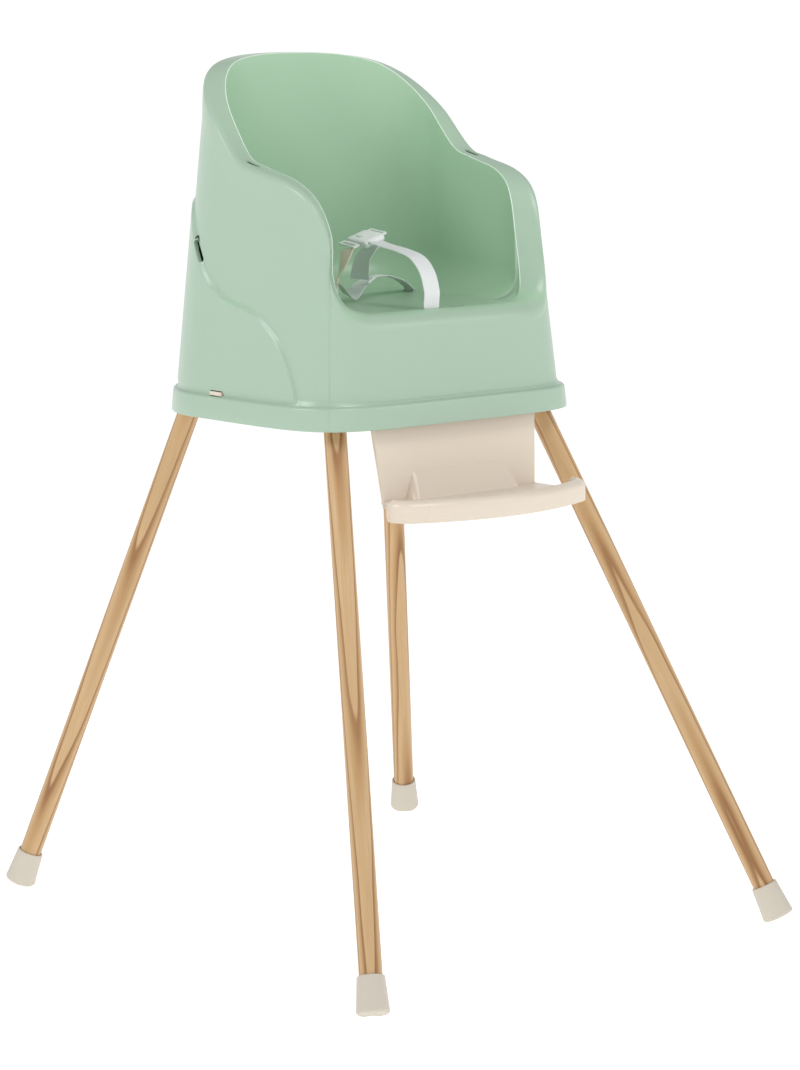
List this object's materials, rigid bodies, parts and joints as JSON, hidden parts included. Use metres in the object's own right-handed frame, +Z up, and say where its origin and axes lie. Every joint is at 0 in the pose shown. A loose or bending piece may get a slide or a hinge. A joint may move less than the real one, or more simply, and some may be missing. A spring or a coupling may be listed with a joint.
{
  "type": "high chair",
  "caption": "Baby high chair: one-piece moulded booster seat on splayed wooden legs, with a clip-in footrest and a three-point harness.",
  "frame": {"origin": "on the floor, at the centre of the outline of the four soles", "axes": "+Z up, the chair faces -Y, +X is to the right when looking along +Y"},
  "size_m": [0.567, 0.6654, 0.9004],
  "materials": {
    "mint_plastic": "satin moulded polypropylene, pale mint green",
    "cream_plastic": "satin moulded polypropylene, warm cream",
    "pine": "clear-varnished turned softwood with long straight grain",
    "cap_rubber": "matt off-white rubber",
    "brass": "plain turned",
    "zinc_steel": "zinc plated",
    "webbing": "woven polyester webbing, white",
    "white_plastic": "semi-gloss moulded acetal, white"
  },
  "bodies": {
    "chair": {"seat_shell": "mint_plastic", "leg_frame": "cream_plastic", "leg_front_left": "pine", "leg_front_right": "pine", "leg_rear_left": "pine", "leg_rear_right": "pine", "foot_front_left": "cap_rubber", "foot_front_right": "cap_rubber", "foot_rear_left": "cap_rubber", "foot_rear_right": "cap_rubber", "leg_inserts": "brass", "leg_bolts": "zinc_steel", "leg_washers": "zinc_steel", "latch_spring_left": "zinc_steel", "latch_spring_right": "zinc_steel", "crotch_strap": "webbing", "crotch_anchor": "white_plastic", "buckle_body": "white_plastic", "adjuster_left": "cream_plastic", "adjuster_right": "white_plastic", "waist_strap_left": "webbing", "waist_strap_right": "webbing", "waist_anchors": "white_plastic"},
    "latch_left": {"latch_left": "cream_plastic"},
    "latch_right": {"latch_right": "cream_plastic"},
    "footrest": {"footrest": "cream_plastic"},
    "buckle_button": {"buckle_button": "white_plastic"},
    "tongue_left": {"tongue_left": "white_plastic", "strap_tail_left": "webbing"},
    "tongue_right": {"tongue_right": "white_plastic", "strap_tail_right": "webbing"}
  },
  "joints": [
    {"name": "latch_left_press", "type": "slide", "parent": "chair", "child": "latch_left", "axis": [1, 0, 0], "range_m": [0, 0.006], "stiffness_N_per_m": 300, "springref_m": -0.002, "deforming": ["latch_spring_left"]},
    {"name": "latch_right_press", "type": "slide", "parent": "chair", "child": "latch_right", "axis": [-1, 0, 0], "range_m": [0, 0.006], "stiffness_N_per_m": 300, "springref_m": -0.002, "deforming": ["latch_spring_right"]},
    {"name": "footrest_slide", "type": "slide", "parent": "chair", "child": "footrest", "axis": [0, 0, -1], "range_m": [0, 0.03]},
    {"name": "buckle_button_press", "type": "slide", "parent": "chair", "child": "buckle_button", "axis": [0.2908, 0.1045, -0.9511], "range_m": [0, 0.002], "stiffness_N_per_m": 1500, "springref_m": -0.001},
    {"name": "tongue_left_pull", "type": "slide", "parent": "chair", "child": "tongue_left", "axis": [-0.9563, 0, -0.2924], "range_m": [0, 0.018]},
    {"name": "tongue_right_pull", "type": "slide", "parent": "chair", "child": "tongue_right", "axis": [0.9563, 0, 0.2924], "range_m": [0, 0.018]}
  ]
}
